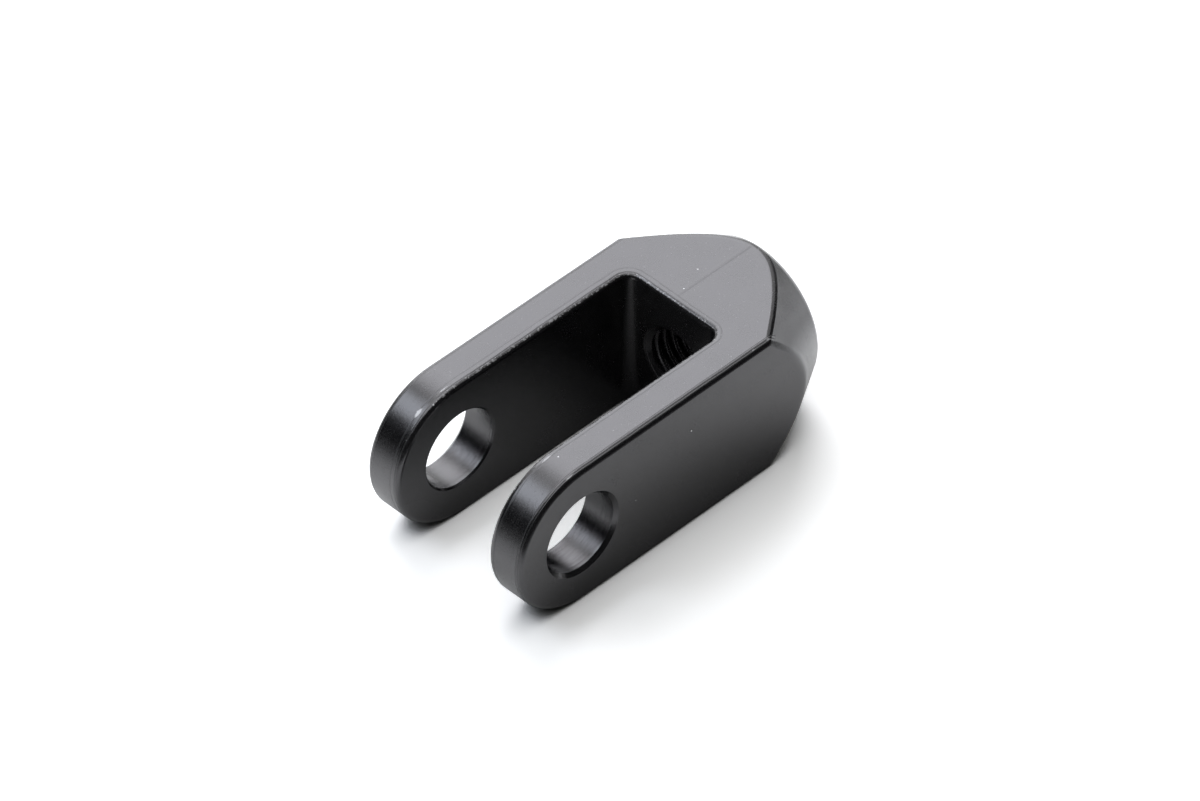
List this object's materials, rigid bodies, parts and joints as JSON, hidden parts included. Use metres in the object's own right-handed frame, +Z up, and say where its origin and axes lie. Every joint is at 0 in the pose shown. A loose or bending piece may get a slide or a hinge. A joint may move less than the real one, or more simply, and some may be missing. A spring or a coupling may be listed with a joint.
{
  "type": "clevis rod end",
  "caption": "One-piece black anodised aluminium fork with round-tipped ears, a cross pin bore, and a tapped bore along its axis for the end of a rod.",
  "frame": {"origin": "middle of the pin bore, halfway between the two ears", "axes": "+X along the bar towards the tapped end, +Y along the pin bore, +Z up out of the flat side that it lies on"},
  "size_m": [0.0328, 0.016, 0.0126],
  "materials": {
    "black_anodised": "satin black anodised, bead blasted and tumbled"
  },
  "bodies": {
    "root": {"clevis_body": "black_anodised"}
  },
  "joints": []
}
